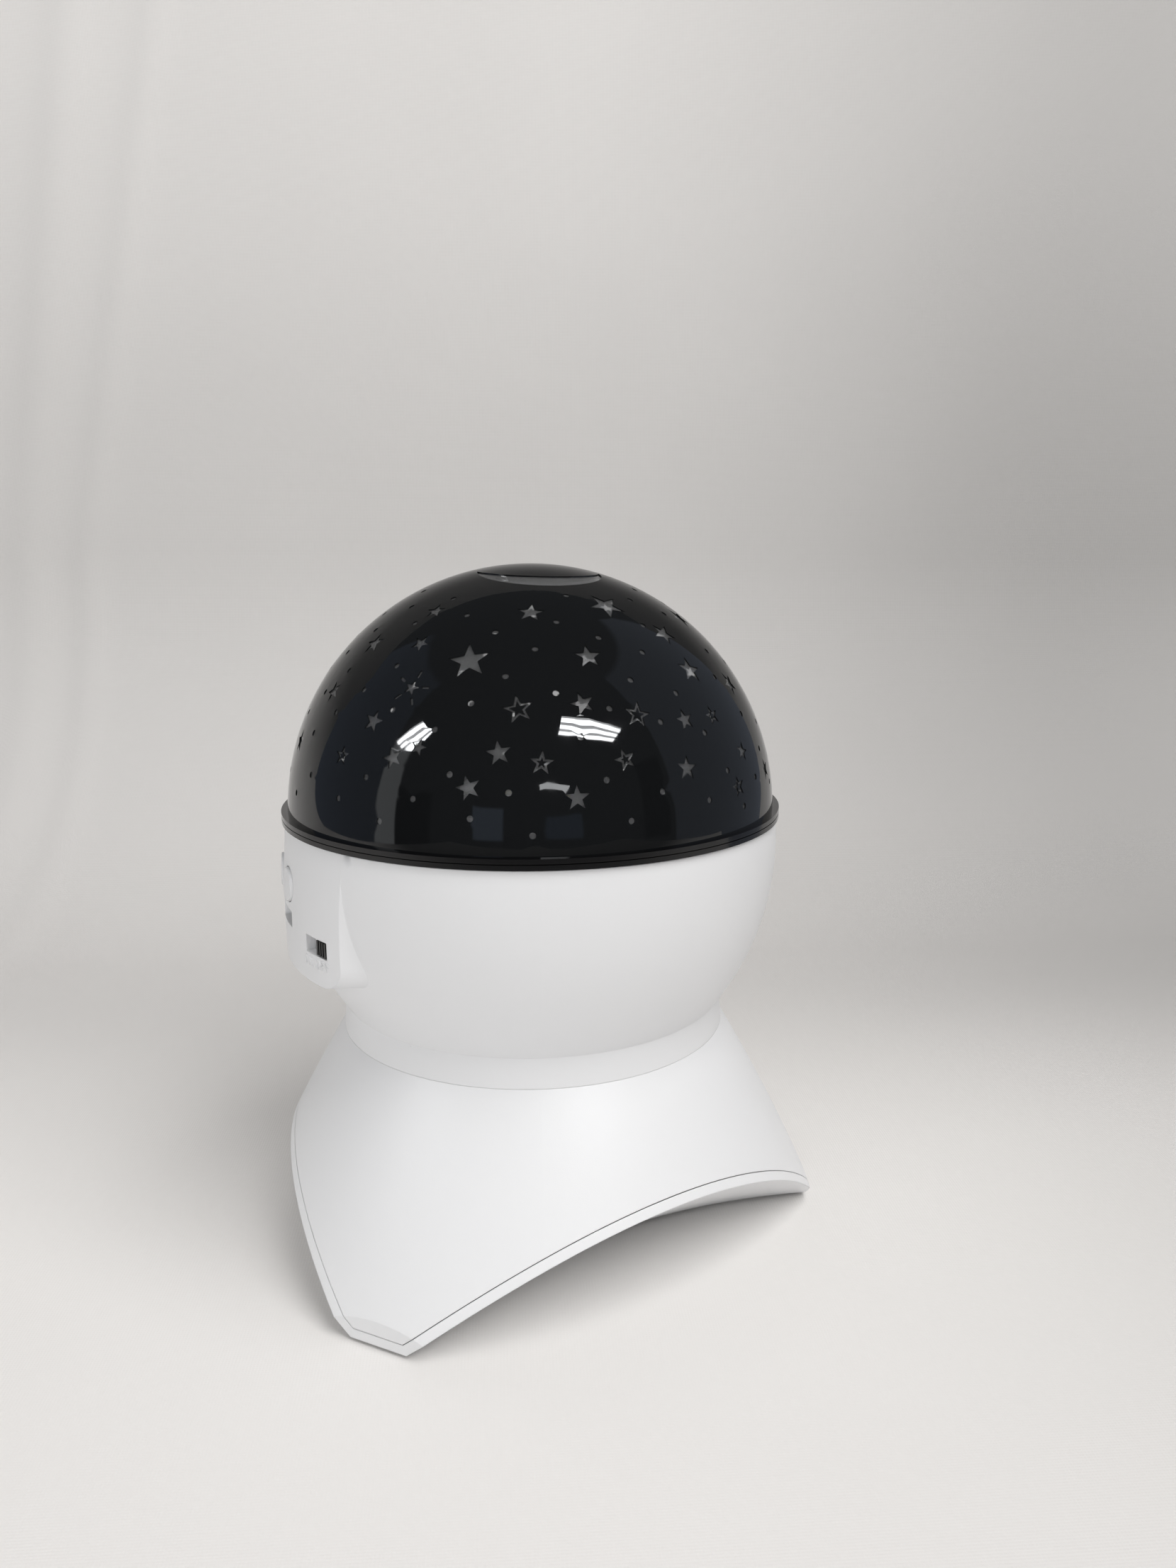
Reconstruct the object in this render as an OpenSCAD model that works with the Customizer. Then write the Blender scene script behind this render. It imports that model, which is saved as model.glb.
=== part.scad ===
// Star night light projector: a spinning black dome pierced with star windows, on a white
// housing: a bowl with a control panel on a flared foot that stands on three lobes.
// Millimetres, +Z up. The part stands on z = 0 and the dome's spin axis is vertical.

/* [Housing] */
// Outer radius of the bowl at its rim
rim_r = 61.2; // [56:0.1:66]
// Height of the bowl, from the top of the neck band to the rim
bowl_h = 46.5; // [42:0.5:54]
// Radius of the bowl's side arc
bowl_arc_r = 66.5; // [60:0.5:90]
// Height of the neck band
neck_h = 7.2; // [4:0.1:12]
// Outer radius of the neck band at its top
neck_top_r = 48.2; // [44:0.1:52]
// Outer radius of the neck band at its bottom
neck_low_r = 48.8; // [44:0.1:53]
// Height of the flared base under the neck band
flare_h = 52.6; // [46:0.2:60]
// Radius that the flare reaches on the ground
foot_r = 75.4; // [72:0.2:80]
// Radius of the flare's side arc
flare_arc_r = 450; // [200:10:900]
// Wall of the housing shells
wall = 2.2; // [1.8:0.1:2.6]

/* [Arches and tray] */
// Height of each arch's crown, where it meets the flare
arch_h = 26.6; // [20:0.2:30]
// Slope of the arch's underside, in degrees
arch_tilt = 37; // [32:1:42]
// Radius of the slanted cylinder that cuts an arch
arch_r = 210; // [170:1:240]
// Thickness of the base tray, seen as a band along the edge
tray_t = 2.3; // [1.8:0.1:3]
// Seam between the tray and the shells
seam = 0.15; // [0.05:0.05:0.3]
// Distance from the axis to the flat on each lobe's tip
tip_flat = 72.6; // [72.2:0.1:74]
// Height that the rubber pads stand out under the tray
pad_proud = 0.6; // [0.3:0.1:1]
// Diameter of a rubber pad
pad_d = 9; // [6:0.5:10]
// Thickness of a rubber pad
pad_t = 1.4; // [1.2:0.1:1.8]
// Distance from the axis to a rubber pad
pad_at = 66; // [63:0.5:67]

/* [Control panel] */
// Half of the panel's width
panel_half_w = 44.2; // [42.2:0.2:46]
// Height of the panel, from its bottom edge to the rim
panel_h = 32.3; // [31:0.1:35]
// How far the panel's bottom edge stands out past the rim
panel_out = 0.8; // [0.2:0.1:1.8]
// Radius of the panel's upright curve
panel_arc_r = 250; // [200:10:500]
// Radius of the panel's bottom corners
panel_corner = 6; // [3:0.5:9]

/* [Buttons] */
// Diameter of a button cap
button_d = 8; // [7:0.1:9]
// Gap between a button cap and its hole
button_gap = 0.3; // [0.2:0.05:0.5]
// Distance between neighbouring buttons
button_pitch = 14.4; // [12.6:0.1:15.6]
// Height of the buttons below the rim
button_down = 12.6; // [12.4:0.1:14]
// How far the buttons stand out of the panel
button_proud = 0.6; // [0.5:0.1:1.2]
// Travel of a button
button_travel = 0.35; // [0.25:0.05:0.4]

/* [Power switch and port] */
// Direction of the switch window from the axis, in degrees
switch_az = -53.5; // [-55:0.5:-52]
// Width of the switch window
window_w = 9.4; // [8.8:0.1:10.4]
// Height of the switch window
window_h = 4; // [3.8:0.1:4.4]
// Height of the switch window below the rim
window_down = 23.2; // [21.5:0.1:24]
// Width of the sliding knob
knob_w = 4.2; // [3.6:0.1:4.8]
// Width of the charging port's cut-out
port_w = 11.6; // [10:0.1:12]
// Height of the charging port's cut-out
port_h = 3.8; // [3.4:0.1:4]
// Distance from the panel's middle to the middle of the port
port_x = 18.4; // [17:0.1:19.6]
// Height of the port below the rim
port_down = 20.6; // [20:0.1:21.5]

/* [Dome and drive] */
// How far the dome is set in from the edge of the rings
dome_in = 1.5; // [1.2:0.1:2.6]
// Wall of the clear dome
dome_t = 1.6; // [1.2:0.1:2]
// Thickness of the black coat that the star windows are cut in
coat_t = 0.3; // [0.2:0.05:0.4]
// How far the black rings under the dome stand out past the rim
ring_over = 0.8; // [0.4:0.1:2]
// Height of the turning ring's lip
lip_h = 1.1; // [0.9:0.1:1.6]
// Gap between the turning ring and the fixed rim
ring_gap = 0.3; // [0.2:0.05:0.5]
// Gear module
gear_m = 1.2; // [1.2:0.1:1.2]
// Teeth of the drive pinion
pinion_teeth = 14; // [12:1:16]
// Radius of the motor shaft
shaft_r = 1.5; // [1:0.1:2]
// Direction of the motor from the axis, in degrees
motor_az = 120; // [112:1:128]

/* [Inner parts] */
// Gap between the white reflector plate and the ring gear's teeth
plate_gap = 1.8; // [1.4:0.2:7]
// Radius of the lamp's round board
lamp_board_r = 16; // [13:0.5:18]
// Radius of the clear lamp hood
hood_r = 20; // [19:0.5:24]
// Length of a battery cell
cell_l = 44.5; // [44.5:0.1:44.5]
// Diameter of a battery cell
cell_d = 10.5; // [10.5:0.1:10.5]

/* [Hidden] */
$fn = 96;

lobes = [-30, 90, 210];
arches = [30, 150, 270];
eps = 0.01;
far = 300;
fit_gap = 0.3;

// Heights of the housing, from the ground up
neck_z = flare_h;
bowl_z = neck_z + neck_h;
rim_z = bowl_z + bowl_h;

// Centre of the arc of radius r from a, above, to b, below, that bulges outwards
function arc_centre(a, b, r) =
  let (d = b - a, l = norm(d), h = sqrt(r * r - l * l / 4))
  (a + b) / 2 + h / l * [d[1], -d[0]];
// Distance from the axis to an arc about c at the height z
function arc_x(c, r, z) = c[0] + sqrt(r * r - (z - c[1]) * (z - c[1]));

bowl_c = arc_centre([rim_r, rim_z], [neck_top_r, bowl_z], bowl_arc_r);
flare_c = arc_centre([neck_low_r, neck_z], [foot_r, 0], flare_arc_r);
panel_low_r = rim_r + panel_out;
panel_z = rim_z - panel_h;
panel_c = arc_centre([rim_r, rim_z], [panel_low_r, panel_z], panel_arc_r);
function flare_x(z) = arc_x(flare_c, flare_arc_r, z);
function panel_x(z) = arc_x(panel_c, panel_arc_r, z);

// Where the four buttons sit, in pitches from the panel's middle
button_row = [-1.5, -0.5, 0.5, 1.5];
button_z = rim_z - button_down;

// The footprint's middle lies at the origin, so the spin axis stands a little in front of it:
// it runs from the inner buttons' faces to the rear lobe's tip
button_near = button_row[2] * button_pitch - button_d / 2;
front = sqrt(pow(panel_x(button_z) + button_proud, 2) - button_near * button_near);
axis_y = (front - tip_flat) / 2;

// Screws and bosses
screw_r = 1.2;
screw_play = 0.05;
head_r = 2.2;
head_h = 1.1;
boss_r = 3.4;

// Tray and feet
tray_z = pad_proud;
seam_z = tray_z + tray_t + seam;
arch_x = flare_x(arch_h);
tray_seat = 1.2;
tray_screw_at = 54;
tray_screw_l = 10;

// Joint between the bowl and the foot: a spigot, and three screws through a flange
foot_in_r = arc_x(flare_c, flare_arc_r - wall, neck_z);
spigot_r = foot_in_r - 0.15;
spigot_t = 1.6;
spigot_h = 4;
flange_t = 2.4;
flange_top = neck_z - spigot_h - 1;
flange_in_r = 37;
joint_at = 41.2;
joint_screw_l = 9;

// Turning ring and gears
ring_r = rim_r + ring_over;
ring_z = rim_z + ring_gap;
lip_top_z = ring_z + lip_h;
skirt_out_r = rim_r - wall - 0.8;
skirt_wall = 2.6;
tooth_top = 0.8 * gear_m;
tooth_foot = 1.25 * gear_m;
// As many teeth as fit inside the skirt's wall
ring_teeth = floor((skirt_out_r - skirt_wall - 0.1 - tooth_foot) * 2 / gear_m + eps);
pitch_r = gear_m * ring_teeth / 2;
pinion_pitch_r = gear_m * pinion_teeth / 2;
drive_at = pitch_r - pinion_pitch_r;
pressure_angle = 25;
backlash = 0.2;
skirt_in_r = pitch_r + tooth_foot + 0.1;
skirt_h = 5.6;
skirt_z = ring_z - skirt_h;
gear_h = 4;
gear_z = skirt_z + 0.2;
groove_z = skirt_z + 1.6;
groove_h = 1.4;
groove_d = 1.2;
keeper_bite = 0.7;

// Chassis, glide ring and reflector plate
glide_t = 0.8;
glide_sunk = 0.4;
glide_z = skirt_z - ring_gap - glide_t;
chassis_t = 2.2;
chassis_z = glide_z + glide_sunk - chassis_t;
chassis_top = chassis_z + chassis_t;
chassis_r = skirt_out_r + 0.5;
chassis_boss_at = skirt_out_r - 8.7;
chassis_boss_h = 16;
chassis_screw_l = 9;
post_at = 32;
post_r = 3.2;
plate_r = pitch_r - tooth_top - plate_gap;
plate_t = 1.6;
plate_z = gear_z + gear_h + 0.8;
plate_top = plate_z + plate_t;
plate_screw_l = 8;
wire_hole_r = 6;

// Motor
gearbox_size = [10, 12, 9];
can_h = 15;
motor_gap = 0.3;
bracket_t = 1.2;
bracket_h = 7;
ear_t = 2;
ear_at = 10;
motor_screw_l = 3.8;
shaft_in = 5;
shaft_play = 0.05;

// Lamp
lamp_board_t = 1.6;
led_s = 5;
led_h = 1.5;
led_at = 8;
hood_t = 1.2;
hood_foot = 2;
lamp_screw_at = 13;
lamp_screw_l = 3.4;

// Dome
collar_z = lip_top_z;
collar_t = 1.3;
seat_t = 0.6;
coat_gap = 0.02;
edge_groove = 0.2;
dome_c = lip_top_z - 0.4;
dome_r = ring_r - dome_in;
shell_out_r = dome_r - coat_t;
shell_in_r = shell_out_r - dome_t;
coat_z = collar_z + collar_t;

// Control board, seen from inside the housing
board_y = 15.2 - rim_r;
board_t = 1.6;
board_half_w = 28;
board_h = 20;
board_z = chassis_z - 0.5 - board_h;
board_post = [23, board_z + 2.8];
board_post_r = 2.4;
board_screw_l = 5;
tact_s = 6;
tact_h = 3.6;
plunger_r = 1.7;
plunger_h = 0.8;
press_gap = button_travel + 0.05;
stem_r = 2.4;
wing_half_w = button_d / 2 + 1.2;
wing_half_h = 3.5;
wing_t = 1;

// Charging socket
port_z = rim_z - port_down;
socket_w = 8;
socket_h = 3;
socket_wall = 0.4;
socket_deep = 5;

// Switch
window_z = rim_z - window_down;
switch_r = panel_x(window_z) - wall - fit_gap;
switch_w = 11;
switch_h = 5.2;
switch_d = 5;
knob_h = 3.4;
knob_rest = window_w / 2 - fit_gap - knob_w / 2;
knob_stem = [2, 1.6, 1.4];
knob_ribs = 3;

// Battery bay
bay_gap = 0.6;
contact_room = 1.6;
bay_l = cell_l + 2 * contact_room;
bay_w = 3 * cell_d + 2 * bay_gap;
bay_h = cell_d + 1.2;
bay_wall = 1.4;
door_t = 1.6;
door_gap = 0.3;
door_ledge = 1.2;
door_ear_r = 4.2;
door_ear_y = bay_l / 2 + bay_wall + 4.4;
door_seat = 1.1;
door_screw_l = 6;
tongue = [7, 1.5, 1];
bay_floor = tray_z + door_t;

// ---------------------------------------------------------------- helpers

// Moves its children from the spin axis to the part's origin
module on_axis() translate([0, axis_y, 0]) children();

// Turns its children to the direction az and moves them out to the radius r
module at(az, r, z = 0) rotate([0, 0, az]) translate([r, 0, z]) children();

// A cylinder along Y, from y0 to y1
module along_y(r, y0, y1) translate([0, y0, 0]) rotate([-90, 0, 0]) cylinder(r = r, h = y1 - y0);

module tube(r_out, r_in, z0, z1) {
  difference() {
    translate([0, 0, z0]) cylinder(r = r_out, h = z1 - z0);
    translate([0, 0, z0 - 1]) cylinder(r = r_in, h = z1 - z0 + 2);
  }
}

// A block centred on X and Y
module block(w, d, h) translate([-w / 2, -d / 2, 0]) cube([w, d, h]);

// A cross-head screw whose head sits at z = 0 and whose shank points down
module screw(l) {
  difference() {
    union() {
      cylinder(r = head_r, h = head_h);
      translate([0, 0, -l]) cylinder(r = screw_r, h = l + eps);
    }
    for (a = [0, 90]) rotate([0, 0, a]) translate([0, 0, head_h - 0.6]) block(head_r * 1.2, 0.5, 1);
  }
}
module screw_hole(l) translate([0, 0, -l]) cylinder(r = screw_r + screw_play, h = l + 1);

// ---------------------------------------------------------------- housing form

// The bowl and its neck band, taken in by inset
module bowl_form(inset) rotate_extrude() {
  intersection() {
    translate(bowl_c) circle(r = bowl_arc_r - inset, $fn = 256);
    translate([0, bowl_z]) square([rim_r + 20, bowl_h]);
  }
  polygon([
    [0, neck_z], [neck_low_r - inset, neck_z],
    [neck_top_r - inset, bowl_z + eps], [0, bowl_z + eps]
  ]);
}

// The flared foot, from z0 up to the neck, taken in by inset
module flare_form(inset, z0 = 0, z1 = neck_z) rotate_extrude() intersection() {
  translate(flare_c) circle(r = flare_arc_r - inset, $fn = 1024);
  translate([0, z0]) square([foot_r + 20, z1 - z0]);
}

// The slanted cylinders whose upper sides are the undersides of the three arches, grown by g
module arch_cuts(g) {
  for (a = arches)
    rotate([0, 0, a]) translate([arch_x, 0, arch_h]) rotate([0, 90 - arch_tilt, 0])
      translate([arch_r, 0, -far / 2]) cylinder(r = arch_r + g, h = far, $fn = 512);
}

module tip_flats() for (a = lobes) rotate([0, 0, a]) translate([tip_flat, -far / 2, -1]) cube([20, far, 20]);

// Outline of the panel seen from the front, taken in by inset, with round bottom corners
module panel_outline(inset) {
  half = panel_half_w - inset;
  low = panel_z + inset;
  translate([-half, low + panel_corner]) square([2 * half, rim_z - low - panel_corner]);
  translate([-half + panel_corner, low]) square([2 * (half - panel_corner), panel_corner + 1]);
  for (s = [-1, 1]) translate([s * (half - panel_corner), low + panel_corner]) circle(r = panel_corner);
}
// The panel's block: its outline run back from a face that curves both ways
module panel_block(inset) {
  intersection() {
    rotate_extrude() intersection() {
      translate(panel_c) circle(r = panel_arc_r - inset, $fn = 512);
      translate([0, panel_z - 5]) square([panel_low_r + 20, rim_z - panel_z + 5]);
    }
    rotate([90, 0, 0]) linear_extrude(height = panel_low_r + 20) panel_outline(inset);
  }
}

// ---------------------------------------------------------------- bowl

module bowl_shell() color("white") difference() {
  union() {
    difference() {
      union() {
        bowl_form(0);
        panel_block(0);
      }
      bowl_form(wall);
      panel_block(wall);
      translate([0, 0, neck_z - 1]) cylinder(r = neck_low_r - wall, h = 2);
      translate([0, 0, rim_z - 0.5]) cylinder(r = rim_r - wall, h = 2);
    }
    tube(spigot_r, spigot_r - spigot_t, neck_z - spigot_h, neck_z + 2);
    tube(neck_low_r - wall / 2, spigot_r - spigot_t, neck_z, neck_z + 2);
    for (a = arches) at(a, joint_at, flange_top) cylinder(r = boss_r, h = bowl_z - flange_top);
    intersection() {
      union() {
        bowl_form(wall / 2);
        panel_block(wall / 2);
      }
      union() {
        for (a = lobes) chassis_boss(a);
        for (a = arches) at(a, joint_at, neck_z) translate([0, -1, 0]) cube([10, 2, neck_h]);
        keeper_tabs();
        board_posts();
        switch_cradle();
      }
    }
  }
  for (a = lobes) at(a, chassis_boss_at, chassis_z) screw_hole(chassis_screw_l);
  for (a = arches) at(a, joint_at, flange_top + joint_screw_l - flange_t) screw_hole(joint_screw_l);
  panel_openings();
  mirrored() translate([board_post[0], 0, board_post[1]])
    along_y(screw_r + screw_play, board_y + board_t - board_screw_l - 1, 0);
}
module mirrored() for (s = [0, 1]) mirror([s, 0, 0]) children();

// Pillar that carries the chassis, with a web that runs out to the bowl's wall
module chassis_boss(a) at(a, chassis_boss_at, chassis_z - chassis_boss_h) {
  cylinder(r = boss_r, h = chassis_boss_h);
  translate([0, -1.2, 0]) cube([20, 2.4, chassis_boss_h]);
}

// Short tabs inside the rim that the turning ring snaps past, and that hold it by its groove
module keeper_tabs() for (a = [-130, -50, 50, 130]) rotate([0, 0, a - 8]) rotate_extrude(angle = 16)
  translate([skirt_out_r - keeper_bite, groove_z + ring_gap]) square([8, groove_h - 2 * ring_gap]);

module board_posts() mirrored() translate([board_post[0], 0, board_post[1]])
  along_y(board_post_r, -far, board_y);

// Cheeks that the slide switch is pressed in between
module switch_cradle() at(switch_az, 0, window_z) for (s = [-1, 1])
  translate([switch_r - switch_d, s * (switch_w / 2 + 0.7) - 0.6, -switch_h / 2])
    cube([switch_d + wall, 1.2, switch_h]);

// Holes through the panel: the buttons, the charging port and the switch window
module panel_openings() {
  for (i = button_row) translate([i * button_pitch, 0, button_z])
    along_y(button_d / 2 + button_gap, -far / 2, board_y - 1);
  translate([port_x - port_w / 2, -far / 2, port_z - port_h / 2]) cube([port_w, far / 2 + board_y, port_h]);
  at(switch_az, switch_r, window_z) translate([0, -window_w / 2, -window_h / 2])
    cube([far, window_w, window_h]);
}

// ---------------------------------------------------------------- foot

module foot_shell() color("white") difference() {
  union() {
    difference() {
      flare_form(0);
      flare_form(wall, -1, neck_z + 1);
    }
    intersection() {
      flare_form(wall / 2);
      union() {
        tube(foot_r, flange_in_r, flange_top - flange_t, flange_top);
        for (a = lobes) at(a, tray_screw_at) cylinder(r = boss_r, h = neck_z);
      }
    }
  }
  arch_cuts(tray_t + seam);
  translate([0, 0, -1]) cylinder(r = far, h = seam_z + 1);
  tip_flats();
  for (a = arches) at(a, joint_at, 0) cylinder(r = screw_r + fit_gap, h = far);
  for (a = lobes) at(a, tray_screw_at, tray_z + tray_seat + tray_screw_l + 1) screw_hole(far);
}

module joint_screws() color("silver")
  for (a = arches) at(a, joint_at, flange_top - flange_t) rotate([180, 0, 0]) screw(joint_screw_l);

// ---------------------------------------------------------------- base

// One even skin under the flare that follows the arches and the ground
module tray_plate() intersection() {
  flare_form(0);
  union() {
    arch_cuts(tray_t);
    cylinder(r = far, h = tray_z + tray_t);
  }
}

module base_tray() color("white") difference() {
  union() {
    tray_plate();
    translate([0, 0, tray_z]) block(bay_w + 2 * bay_wall, bay_l + 2 * bay_wall, door_t + bay_h + bay_wall);
    for (a = lobes) at(a, pad_at, tray_z) cylinder(r = pad_d / 2 + 1.2, h = tray_t);
    translate([0, door_ear_y, tray_z]) cylinder(r = boss_r, h = door_t + door_screw_l);
  }
  arch_cuts(0);
  translate([0, 0, -1]) cylinder(r = far, h = tray_z + 1);
  tip_flats();
  translate([0, 0, -1]) block(bay_w, bay_l, 1 + bay_floor + bay_h);
  door_form(door_ledge, door_gap, -1, bay_floor);
  for (x = [-bay_w / 4, bay_w / 4]) translate([x, -bay_l / 2, bay_floor - 0.2])
    block(tongue[0] + 0.6, 2 * tongue[1] + 0.6, tongue[2] + 0.5);
  translate([0, door_ear_y, bay_floor + door_screw_l - 1]) screw_hole(door_screw_l);
  for (a = lobes) {
    at(a, pad_at, -1) cylinder(r = pad_d / 2 + 0.1, h = 1 + pad_t);
    at(a, tray_screw_at, -1) cylinder(r = screw_r + fit_gap, h = far);
    at(a, tray_screw_at, -1) cylinder(r = head_r + fit_gap, h = 1 + tray_z + tray_seat);
  }
}

module foot_pads() color([0.12, 0.12, 0.12])
  for (a = lobes) at(a, pad_at) cylinder(r = pad_d / 2, h = pad_t);

module tray_screws() color("silver")
  for (a = lobes) at(a, tray_screw_at, tray_z + tray_seat) rotate([180, 0, 0]) screw(tray_screw_l);

// The door's outline: a plate that reaches ledge past the bay, with an ear for its screw
module door_form(ledge, grow, z0, z1) translate([0, 0, z0]) {
  block(bay_w + 2 * ledge, bay_l + 2 * ledge, z1 - z0);
  translate([0, door_ear_y, 0]) cylinder(r = door_ear_r + grow, h = z1 - z0);
  translate([0, door_ear_y / 2, 0]) block(2 * (door_ear_r + grow), door_ear_y, z1 - z0);
}

module battery_door() color("white") difference() {
  union() {
    door_form(door_ledge - door_gap, 0, tray_z, bay_floor - 0.1);
    for (x = [-bay_w / 4, bay_w / 4]) translate([x, -bay_l / 2, bay_floor - 0.2])
      block(tongue[0], 2 * tongue[1], tongue[2]);
  }
  translate([0, door_ear_y, -1]) cylinder(r = screw_r + fit_gap, h = 9);
  translate([0, door_ear_y, -1]) cylinder(r = head_r + fit_gap, h = 1 + tray_z + door_seat);
  // Finger grooves
  for (i = [-1, 0, 1]) translate([0, bay_l / 2 - 5 + i * 2.4, tray_z - 1]) block(14, 1, 1.5);
}

module door_screw() color("silver")
  translate([0, door_ear_y, tray_z + door_seat]) rotate([180, 0, 0]) screw(door_screw_l);

module battery_cells() color([0.75, 0.75, 0.78])
  for (i = [-1, 0, 1]) translate([i * cell_d, 0, bay_floor + cell_d / 2 + 0.1])
    mirror([0, i == 0 ? 1 : 0, 0]) {
      along_y(cell_d / 2 - 0.05, -cell_l / 2, cell_l / 2 - 1);
      along_y(1.9, 0, cell_l / 2);
    }

module battery_contacts() color("silver")
  for (i = [-1, 0, 1]) for (s = [-1, 1])
    translate([i * cell_d, s * bay_l / 2, bay_floor + cell_d / 2 + 0.1]) mirror([0, s < 0 ? 1 : 0, 0]) {
      translate([-4, -0.5, -4]) cube([8, 0.4, 8]);
      translate([0, -0.5 + eps, 0]) rotate([90, 0, 0]) cylinder(r1 = 3, r2 = 1.6, h = 0.9);
    }

// ---------------------------------------------------------------- chassis and drive

module chassis() color("gainsboro") difference() {
  union() {
    translate([0, 0, chassis_z]) cylinder(r = chassis_r, h = chassis_t);
    for (a = arches) at(a, post_at, chassis_z) cylinder(r = post_r, h = plate_z - chassis_z);
    tube(wire_hole_r + 1.6, wire_hole_r, chassis_z, chassis_top + 2);
  }
  translate([0, 0, chassis_z - 1]) cylinder(r = wire_hole_r, h = far);
  tube(skirt_out_r + eps, skirt_in_r + 0.3, glide_z, glide_z + 5);
  for (a = arches) at(a, post_at, plate_z) screw_hole(plate_screw_l);
  for (a = lobes) at(a, chassis_boss_at, 0) cylinder(r = screw_r + fit_gap, h = far);
  at(motor_az, drive_at, 0) {
    cylinder(r = shaft_r + 1.5, h = far);
    for (s = [-1, 1]) translate([0, s * ear_at, chassis_z + motor_screw_l - ear_t + 0.2])
      screw_hole(motor_screw_l);
  }
}

module chassis_screws() color("silver")
  for (a = lobes) at(a, chassis_boss_at, chassis_top) screw(chassis_screw_l);

module glide_ring() color("ivory")
  tube(skirt_out_r - 0.2, skirt_in_r + 0.5, glide_z, glide_z + glide_t);

module gearbox() color([0.75, 0.65, 0.4]) at(motor_az, drive_at, chassis_z - gearbox_size[2]) difference() {
  union() {
    for (z = [0, gearbox_size[2] / 2 - 0.5, gearbox_size[2] - 1]) translate([0, 0, z])
      block(gearbox_size[0], gearbox_size[1], 1);
    translate([0, 0, 0.5]) block(gearbox_size[0] - 3, gearbox_size[1] - 3, gearbox_size[2] - 1);
  }
  translate([0, 0, gearbox_size[2] - shaft_in]) cylinder(r = shaft_r + shaft_play, h = far);
}

module motor_can() color("silver") at(motor_az, drive_at, chassis_z - gearbox_size[2] - can_h) {
  intersection() {
    cylinder(r = gearbox_size[1] / 2, h = can_h);
    block(gearbox_size[0], gearbox_size[1], can_h);
  }
  translate([0, 0, -1]) cylinder(r = 2, h = 2);
}

module around_gearbox(g, h) block(gearbox_size[0] + 2 * g, gearbox_size[1] + 2 * g, h);
module motor_bracket() color("gainsboro") at(motor_az, drive_at, chassis_z) difference() {
  union() {
    translate([0, 0, -bracket_h]) around_gearbox(motor_gap + bracket_t, bracket_h);
    translate([0, 0, -ear_t]) block(8, 2 * (ear_at + 3), ear_t);
  }
  translate([0, 0, -far / 2]) around_gearbox(motor_gap, far);
  for (s = [-1, 1]) translate([0, s * ear_at, 0]) screw_hole(5);
}

module motor_screws() color("silver") at(motor_az, drive_at, chassis_z - ear_t)
  for (s = [-1, 1]) translate([0, s * ear_at, 0]) rotate([180, 0, 0]) screw(motor_screw_l);

module reflector_plate() color("white") difference() {
  union() {
    translate([0, 0, plate_z]) cylinder(r = plate_r, h = plate_t);
    tube(plate_r, plate_r - 1.6, plate_z, plate_top + 0.8);
  }
  translate([0, 0, plate_z - 1]) cylinder(r = wire_hole_r, h = 10);
  for (a = arches) at(a, post_at, plate_z + 5) screw_hole(10);
  mirrored() translate([lamp_screw_at, 0, plate_top]) screw_hole(5);
}

module plate_screws() color("silver") {
  for (a = arches) at(a, post_at, plate_top) screw(plate_screw_l);
  mirrored() translate([lamp_screw_at, 0, plate_top + lamp_board_t]) screw(lamp_screw_l);
}

module lamp_board() color("white") difference() {
  translate([0, 0, plate_top]) cylinder(r = lamp_board_r, h = lamp_board_t);
  mirrored() translate([lamp_screw_at, 0, plate_top + 5]) screw_hole(10);
}

// One lamp in the middle and four around it
module lamp_leds() color([0.95, 0.9, 0.5]) translate([0, 0, plate_top + lamp_board_t]) {
  block(led_s, led_s, led_h);
  for (a = [45:90:315]) at(a, led_at) block(led_s, led_s, led_h);
}

module lamp_hood() color([0.9, 0.9, 0.92, 0.4]) difference() {
  union() {
    translate([0, 0, plate_top]) sphere(r = hood_r);
    translate([0, 0, plate_top]) cylinder(r = hood_r + hood_foot, h = hood_t);
  }
  translate([0, 0, plate_top]) sphere(r = hood_r - hood_t);
  translate([0, 0, plate_top - far]) cylinder(r = far, h = far);
}

// ---------------------------------------------------------------- controls

module control_board() color([0.1, 0.35, 0.2]) difference() {
  translate([-board_half_w, board_y, board_z]) cube([2 * board_half_w, board_t, board_h]);
  mirrored() translate([board_post[0], 0, board_post[1]]) along_y(screw_r + fit_gap, board_y - 1, 0);
}

module board_screws() color("silver") mirrored()
  translate([board_post[0], board_y + board_t, board_post[1]]) rotate([-90, 0, 0]) screw(board_screw_l);

module button_switches() color([0.2, 0.2, 0.2])
  for (i = button_row) translate([i * button_pitch, board_y, button_z]) {
    rotate([90, 0, 0]) block(tact_s, tact_s, tact_h);
    along_y(plunger_r, -tact_h - plunger_h, -tact_h + eps);
  }

// A button: a cap whose face follows the panel, two wings that keep it in and a stem
module button(i) {
  reach = abs(i) * button_pitch + wing_half_w;
  in_r = panel_x(button_z) - wall;
  wing_y = -sqrt(in_r * in_r - reach * reach) + fit_gap;
  tip_y = board_y - tact_h - plunger_h - press_gap;
  intersection() {
    translate([i * button_pitch, 0, button_z]) along_y(button_d / 2, -far, wing_y + wing_t);
    panel_block(-button_proud);
  }
  translate([i * button_pitch, wing_y + wing_t / 2, button_z - wing_half_h])
    block(2 * wing_half_w, wing_t, 2 * wing_half_h);
  translate([i * button_pitch, 0, button_z]) along_y(stem_r, wing_y + wing_t / 2, tip_y);
}
module far_left_button() color("white") button(button_row[0]);
module left_button() color("white") button(button_row[1]);
module right_button() color("white") button(button_row[2]);
module far_right_button() color("white") button(button_row[3]);

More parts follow.
